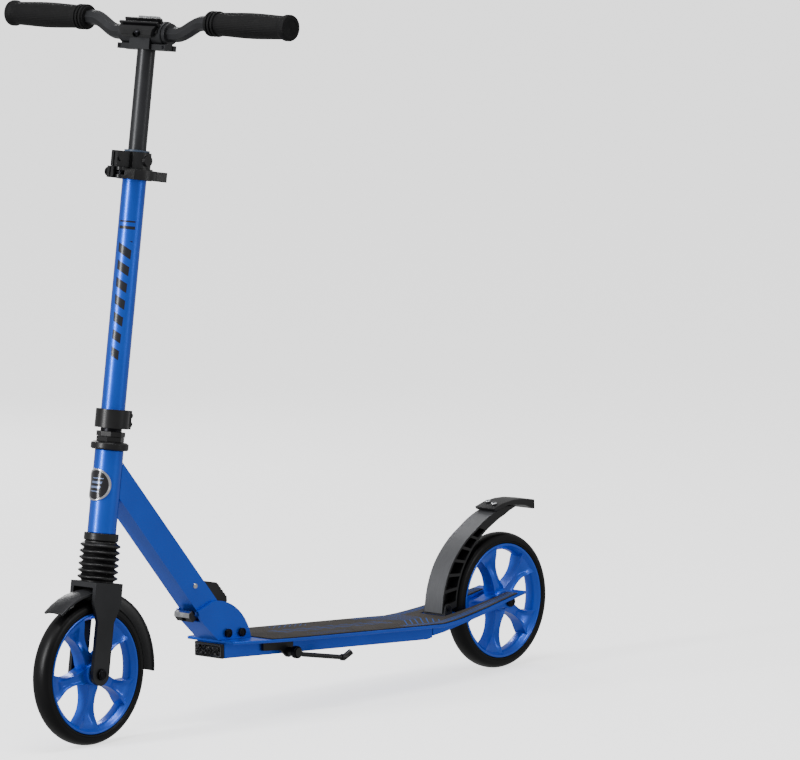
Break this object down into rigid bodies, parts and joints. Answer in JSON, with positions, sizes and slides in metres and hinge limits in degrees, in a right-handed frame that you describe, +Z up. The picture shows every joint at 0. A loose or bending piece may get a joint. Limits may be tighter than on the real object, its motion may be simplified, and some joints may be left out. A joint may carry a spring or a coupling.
{
  "type": "kick scooter",
  "caption": "Two-wheeled folding kick scooter with a long low deck, leaning steering column, height-adjustable folding handlebar, sprung fork, foot brake fender and kickstand.",
  "frame": {"origin": "on the ground under the middle of the wheelbase, at the bottom centre of the whole box across the width", "axes": "+Z up, +X towards the rear wheel, +Y to the rider's right"},
  "size_m": [1.0524, 0.5304, 1.0064],
  "materials": {
    "blue_paint": "glossy metallic blue paint",
    "anthracite_metal": "satin anthracite paint with a fine metallic flake",
    "black_plastic": "fine-grained satin black moulded plastic",
    "black_rubber": "matt black moulded rubber",
    "tyre_rubber": "smooth satin black polyurethane tyre",
    "bright_steel": "bright zinc-plated steel",
    "black_steel": "black oxide steel",
    "grip_tape": "dark gritty tape with blue printed lines"
  },
  "bodies": {
    "deck": {"deck_plate": "blue_paint", "deck_beam": "blue_paint", "grip_tape": "grip_tape", "nose_cap": "black_plastic", "rear_rail_left": "blue_paint", "rear_rail_right": "blue_paint", "rear_axle": "black_steel", "fold_bracket": "blue_paint", "pivot_bolt": "black_steel", "stop_bolt": "black_steel", "brake_mount": "anthracite_metal", "brake_pin": "black_steel", "kickstand_bracket": "black_plastic"},
    "rear_wheel": {"rear_tyre": "tyre_rubber", "rear_rim": "blue_paint", "rear_bearing_left": "bright_steel", "rear_bearing_right": "bright_steel"},
    "neck": {"head_tube": "blue_paint", "headset_lower_cup": "black_plastic", "headset_upper_cup": "black_plastic", "head_badge": "bright_steel", "down_tube": "blue_paint", "lever_rivet": "bright_steel"},
    "fold_lever": {"fold_lever": "black_plastic"},
    "lock_bar": {"lock_bar": "black_plastic"},
    "steerer": {"steerer_tube": "black_steel", "headset_nut": "black_plastic", "headset_locknut": "black_plastic", "stem_tube": "blue_paint", "lower_clamp": "black_plastic", "qr_clamp": "black_plastic", "qr_pin": "black_steel", "upper_collar": "black_plastic", "post_bushing": "blue_paint", "bellows": "black_rubber", "front_spring": "bright_steel"},
    "qr_lever": {"qr_lever": "black_plastic"},
    "fork": {"fork_crown": "anthracite_metal", "fork_shaft": "bright_steel", "front_axle": "black_steel", "front_mudguard": "anthracite_metal"},
    "front_wheel": {"front_tyre": "tyre_rubber", "front_rim": "blue_paint", "front_bearing_left": "bright_steel", "front_bearing_right": "bright_steel"},
    "t_bar": {"t_bar_post": "anthracite_metal", "bar_sleeve": "black_plastic", "hinge_pin_left": "black_steel", "hinge_pin_right": "black_steel"},
    "bar_left": {"bar_left": "anthracite_metal", "grip_left": "black_rubber"},
    "bar_right": {"bar_right": "anthracite_metal", "grip_right": "black_rubber"},
    "bar_latch": {"bar_latch": "black_plastic", "latch_bolt": "bright_steel"},
    "brake": {"brake_fender": "anthracite_metal", "brake_pedal": "black_plastic"},
    "kickstand": {"kickstand_leg": "black_plastic", "kickstand_foot": "black_rubber"}
  },
  "joints": [
    {"name": "rear_wheel_spin", "type": "hinge", "parent": "deck", "child": "rear_wheel", "pos_m": [0.4262, 0, 0.1], "axis": [0, 1, 0], "continuous": true},
    {"name": "fold", "type": "hinge", "parent": "deck", "child": "neck", "pos_m": [-0.1424, 0, 0.1238], "axis": [0, 1, 0], "range_deg": [0, 84]},
    {"name": "fold_lever_press", "type": "hinge", "parent": "neck", "child": "fold_lever", "pos_m": [-0.22966, 0, 0.19873], "axis": [0, 1, 0], "range_deg": [0, 10], "stiffness_Nm_per_rad": 3, "springref_deg": -2.86},
    {"name": "lock_bar_slide", "type": "slide", "parent": "deck", "child": "lock_bar", "axis": [-0.7547, 0, -0.6561], "range_m": [0, 0.0045]},
    {"name": "steering", "type": "hinge", "parent": "neck", "child": "steerer", "pos_m": [-0.38877, 0, 0.34718], "axis": [0.1497, 0, 0.9887], "range_deg": [-60, 60]},
    {"name": "fork_travel", "type": "slide", "parent": "steerer", "child": "fork", "axis": [0.1497, 0, 0.9887], "range_m": [0, 0.015], "stiffness_N_per_m": 30000, "springref_m": -0.002, "deforming": ["bellows", "front_spring"]},
    {"name": "front_wheel_spin", "type": "hinge", "parent": "fork", "child": "front_wheel", "pos_m": [-0.4262, 0, 0.1], "axis": [0, 1, 0], "continuous": true},
    {"name": "qr_lever_swing", "type": "hinge", "parent": "steerer", "child": "qr_lever", "pos_m": [-0.36486, -0.0118, 0.78564], "axis": [-0.1497, 0, -0.9887], "range_deg": [0, 100]},
    {"name": "bar_height", "type": "slide", "parent": "steerer", "child": "t_bar", "axis": [0.1497, 0, 0.9887], "range_m": [-0.135, 0.05]},
    {"name": "bar_left_fold", "type": "hinge", "parent": "t_bar", "child": "bar_left", "pos_m": [-0.29709, -0.041, 0.95268], "axis": [0.9887, 0, -0.1497], "range_deg": [0, 90]},
    {"name": "bar_right_fold", "type": "hinge", "parent": "t_bar", "child": "bar_right", "pos_m": [-0.29709, 0.041, 0.95268], "axis": [-0.9887, 0, 0.1497], "range_deg": [0, 90]},
    {"name": "bar_latch_lift", "type": "hinge", "parent": "t_bar", "child": "bar_latch", "pos_m": [-0.27518, 0, 0.97718], "axis": [0, 1, 0], "range_deg": [0, 18], "stiffness_Nm_per_rad": 1.5, "springref_deg": -2.86},
    {"name": "brake_press", "type": "hinge", "parent": "deck", "child": "brake", "pos_m": [0.297, 0, 0.1045], "axis": [0, 1, 0], "range_deg": [0, 5.4], "stiffness_Nm_per_rad": 60, "springref_deg": -1.72},
    {"name": "kickstand_swing", "type": "hinge", "parent": "deck", "child": "kickstand", "pos_m": [-0.0547, -0.0406, 0.0868], "axis": [0, 1, 0], "range_deg": [0, 65]}
  ],
  "couplings": [
    {"joint": "lock_bar_slide", "follows": "fold_lever_press", "m_per_rad": 0.0229}
  ]
}
